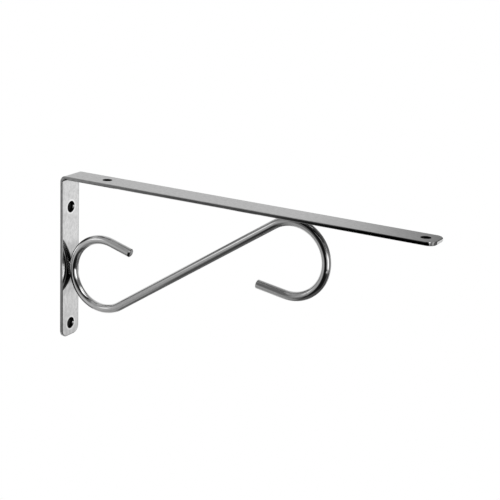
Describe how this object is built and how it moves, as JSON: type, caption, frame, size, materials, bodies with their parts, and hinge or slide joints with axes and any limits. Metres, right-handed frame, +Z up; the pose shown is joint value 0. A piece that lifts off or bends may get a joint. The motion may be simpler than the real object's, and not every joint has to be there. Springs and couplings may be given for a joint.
{
  "type": "shelf bracket",
  "caption": "Right-angle shelf bracket: a bent flat bar with countersunk screw holes, braced by an S-shaped scroll of round rod.",
  "frame": {"origin": "midway between the two wall screw holes, on the leg's back face", "axes": "+X out from the wall along the arm, +Y across the bar, +Z up towards the shelf face"},
  "size_m": [0.2275, 0.016, 0.0975],
  "materials": {
    "bar_plating": "bright polished plating on steel flat bar",
    "rod_plating": "bright polished plating on drawn steel rod",
    "weld_plating": "plated over the weld, slightly uneven"
  },
  "bodies": {
    "root": {"angle_bar": "bar_plating", "scroll_rod": "rod_plating", "wall_weld": "weld_plating", "arm_weld": "weld_plating"}
  },
  "joints": []
}
